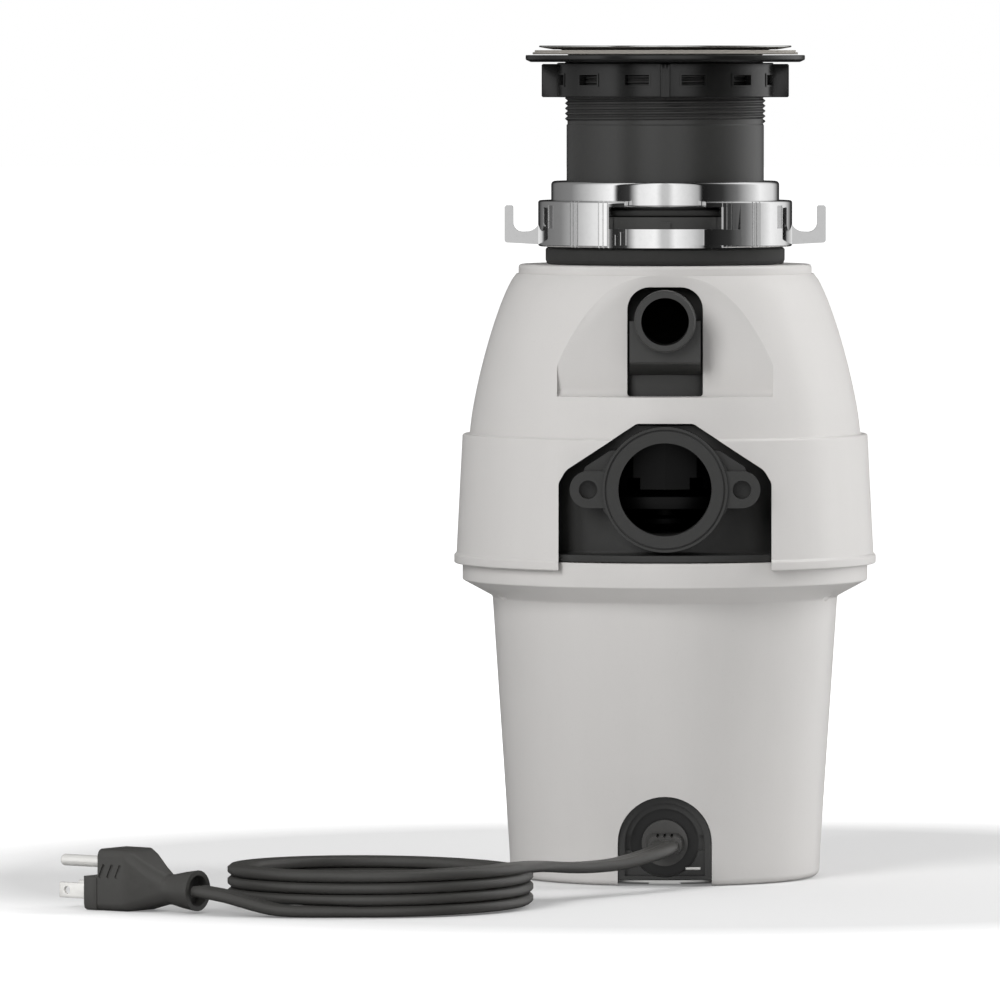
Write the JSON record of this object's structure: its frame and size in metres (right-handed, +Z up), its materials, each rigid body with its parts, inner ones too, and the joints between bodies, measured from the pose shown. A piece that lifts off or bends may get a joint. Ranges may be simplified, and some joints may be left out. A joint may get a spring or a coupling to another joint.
{
  "type": "kitchen garbage disposal",
  "caption": "Under-sink food waste disposal: domed two-shell body, threaded sink mount with chrome lock ring, side drain outlet and inlet, coiled flat cord with grounded plug.",
  "frame": {"origin": "centre of the base, on the surface that the disposal stands on", "axes": "+Z up along the motor shaft, -Y towards the drain outlet and the cord entry"},
  "size_m": [0.3417, 0.3274, 0.3572],
  "materials": {
    "light_grey_plastic": "satin moulded plastic",
    "black_plastic": "moulded glass-filled plastic",
    "dark_rubber": "moulded rubber",
    "grey_gasket": "fibre-rubber gasket",
    "chrome": "polished chrome plate",
    "polished_steel": "polished stainless steel",
    "brushed_steel": "brushed stainless steel",
    "zinc_steel": "zinc-plated steel",
    "cast_aluminium": "die-cast aluminium",
    "lamination_steel": "stacked steel laminations",
    "ferrite": "pressed ferrite magnet",
    "copper": "enamelled copper",
    "bronze": "sintered bronze",
    "carbon": "pressed carbon",
    "brass": "bright brass",
    "nickel": "bright nickel plate",
    "red_plastic": "red moulded plastic",
    "cord_grey": "soft vinyl"
  },
  "bodies": {
    "disposer": {"lower_housing": "light_grey_plastic", "upper_cover": "light_grey_plastic", "base_plate": "brushed_steel", "overload_switch": "black_plastic", "cord_entry_plate": "black_plastic", "cord_gland": "dark_rubber", "upper_bearing": "bronze", "lower_bearing": "bronze", "motor_can": "zinc_steel", "upper_end_bell": "cast_aluminium", "lower_end_bell": "cast_aluminium", "magnet_a": "ferrite", "magnet_b": "ferrite", "brush_a": "carbon", "brush_b": "carbon", "brush_holder_a": "brass", "brush_holder_b": "brass", "grind_ring": "brushed_steel", "drain_chamber": "black_plastic", "shaft_seal": "dark_rubber", "chamber_gasket": "dark_rubber", "hopper": "black_plastic", "hopper_neck": "black_plastic", "inlet_nozzle": "black_plastic", "cushion_collar": "dark_rubber", "throat_gasket": "dark_rubber", "upper_ring": "chrome", "threaded_sleeve": "black_plastic", "sink_flange": "polished_steel", "cord_lead": "cord_grey", "cord_coil": "cord_grey", "cord_tail": "cord_grey", "plug_body": "cord_grey", "plug_blade_a": "nickel", "plug_blade_b": "nickel", "plug_ground_pin": "nickel", "chamber_screw_1": "zinc_steel", "chamber_screw_2": "zinc_steel", "chamber_screw_3": "zinc_steel", "chamber_screw_4": "zinc_steel", "base_screw_1": "zinc_steel", "base_screw_2": "zinc_steel", "base_screw_3": "zinc_steel"},
    "rotor": {"shaft": "polished_steel", "armature_core": "lamination_steel", "winding_lower": "copper", "winding_upper": "copper", "commutator": "copper", "turntable": "polished_steel", "turntable_nut": "zinc_steel", "impeller_pin_a": "zinc_steel", "impeller_pin_b": "zinc_steel"},
    "impeller_a": {"impeller_a": "polished_steel"},
    "impeller_b": {"impeller_b": "polished_steel"},
    "lock_ring": {"lock_ring": "chrome"},
    "support_flange": {"support_flange": "black_plastic", "sink_gasket": "grey_gasket"},
    "mounting_nut": {"mounting_nut": "black_plastic"},
    "splash_guard": {"splash_guard": "dark_rubber"},
    "reset_button": {"reset_button": "red_plastic"}
  },
  "joints": [
    {"name": "rotor_spin", "type": "hinge", "parent": "disposer", "child": "rotor", "pos_m": [0, 0, 0.1], "axis": [0, 0, 1], "continuous": true},
    {"name": "impeller_a_swivel", "type": "hinge", "parent": "rotor", "child": "impeller_a", "pos_m": [0.0361, 0, 0.1678], "axis": [0, 0, 1], "continuous": true},
    {"name": "impeller_b_swivel", "type": "hinge", "parent": "rotor", "child": "impeller_b", "pos_m": [-0.0361, 0, 0.1678], "axis": [0, 0, 1], "continuous": true},
    {"name": "lock_ring_turn", "type": "hinge", "parent": "disposer", "child": "lock_ring", "pos_m": [0, 0, 0.281], "axis": [0, 0, 1], "range_deg": [0, 40]},
    {"name": "support_flange_slide", "type": "slide", "parent": "disposer", "child": "support_flange", "axis": [0, 0, 1], "range_m": [-0.011, 0]},
    {"name": "mounting_nut_turn", "type": "hinge", "parent": "support_flange", "child": "mounting_nut", "pos_m": [0, 0, 0.342], "axis": [0, 0, 1], "range_deg": [-1801, 0]},
    {"name": "splash_guard_lift", "type": "slide", "parent": "disposer", "child": "splash_guard", "axis": [0, 0, 1], "range_m": [0, 0.05]},
    {"name": "reset_button_push", "type": "slide", "parent": "disposer", "child": "reset_button", "axis": [0, 0, -1], "range_m": [0, 0.0028]}
  ],
  "couplings": [
    {"joint": "mounting_nut_turn", "follows": "support_flange_slide", "rad_per_m": 2856}
  ]
}
